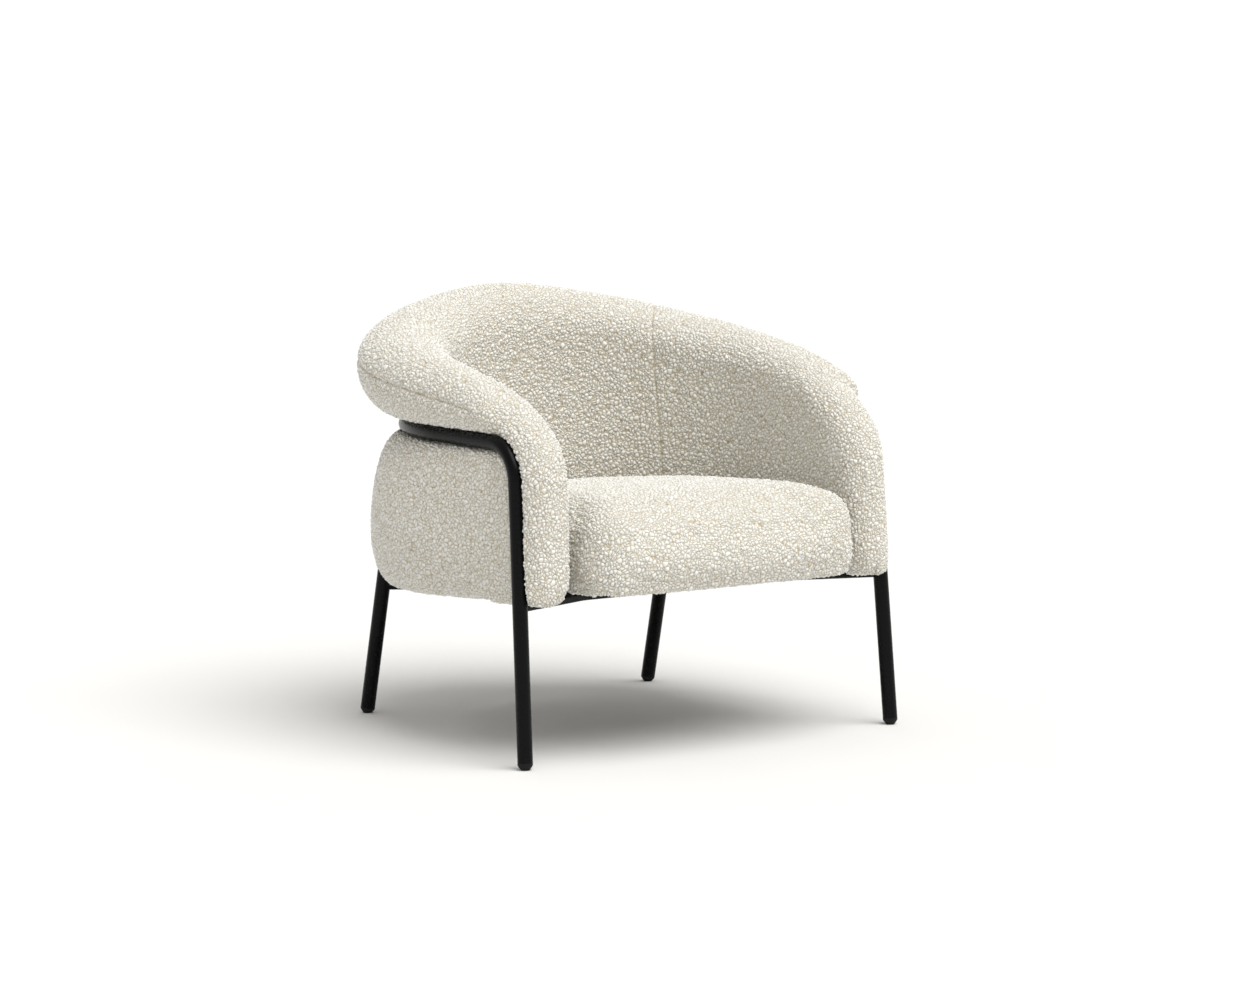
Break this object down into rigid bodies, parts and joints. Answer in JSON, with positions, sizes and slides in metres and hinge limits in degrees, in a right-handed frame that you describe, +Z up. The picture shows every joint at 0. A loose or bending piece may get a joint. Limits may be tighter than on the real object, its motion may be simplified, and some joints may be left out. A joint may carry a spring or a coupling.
{
  "type": "upholstered armchair",
  "caption": "Upholstered tub armchair: cream boucle seat, rolled wraparound back and arms, held in a bent black steel tube frame with splayed legs.",
  "frame": {"origin": "centre of the chair's box in plan, on the floor", "axes": "+Z up; -Y is the chair's front, where the sitter's legs go; X runs across the arms, and the chair is mirrored about X = 0"},
  "size_m": [0.8158, 0.7949, 0.7345],
  "materials": {
    "black_steel": "matt black powder coat",
    "glide_plastic": "moulded black polypropylene",
    "zinc_steel": "zinc plated",
    "spring_steel": "oiled spring wire",
    "frame_wood": "sawn birch plywood",
    "foam": "polyurethane foam wrapped in wadding",
    "felt": "pressed felt pad",
    "webbing": "elastic webbing",
    "dust_cloth": "black nonwoven",
    "boucle": "ivory looped boucle"
  },
  "bodies": {
    "root": {"arm_hoop": "black_steel", "rear_leg_left": "black_steel", "rear_leg_right": "black_steel", "front_rail": "black_steel", "rear_rail": "black_steel", "seat_mount_plates": "black_steel", "hoop_bosses": "black_steel", "front_glide_left": "glide_plastic", "front_glide_right": "glide_plastic", "rear_glide_left": "glide_plastic", "rear_glide_right": "glide_plastic", "seat_bolts": "zinc_steel", "seat_bolt_washers": "zinc_steel", "seat_tee_nuts": "zinc_steel", "hoop_screws": "zinc_steel", "seat_springs": "spring_steel", "spring_clips": "spring_steel", "seat_frame_front": "frame_wood", "seat_frame_rear": "frame_wood", "seat_frame_left": "frame_wood", "seat_frame_right": "frame_wood", "seat_cross_rail": "frame_wood", "seat_corner_blocks": "frame_wood", "tub_rim_lower": "frame_wood", "tub_rim_upper": "frame_wood", "tub_front_posts": "frame_wood", "tub_posts": "frame_wood", "back_uprights": "frame_wood", "back_top_rail": "frame_wood", "seat_foam": "foam", "roll_foam": "foam", "inner_foam": "foam", "outer_foam": "foam", "spring_pad": "felt", "back_webbing": "webbing", "dust_cover": "dust_cloth", "seat_cover": "boucle", "inner_back_cover": "boucle", "inner_arm_cover_left": "boucle", "inner_arm_cover_right": "boucle", "outer_roll_cover": "boucle", "outer_lower_cover": "boucle"}
  },
  "joints": []
}
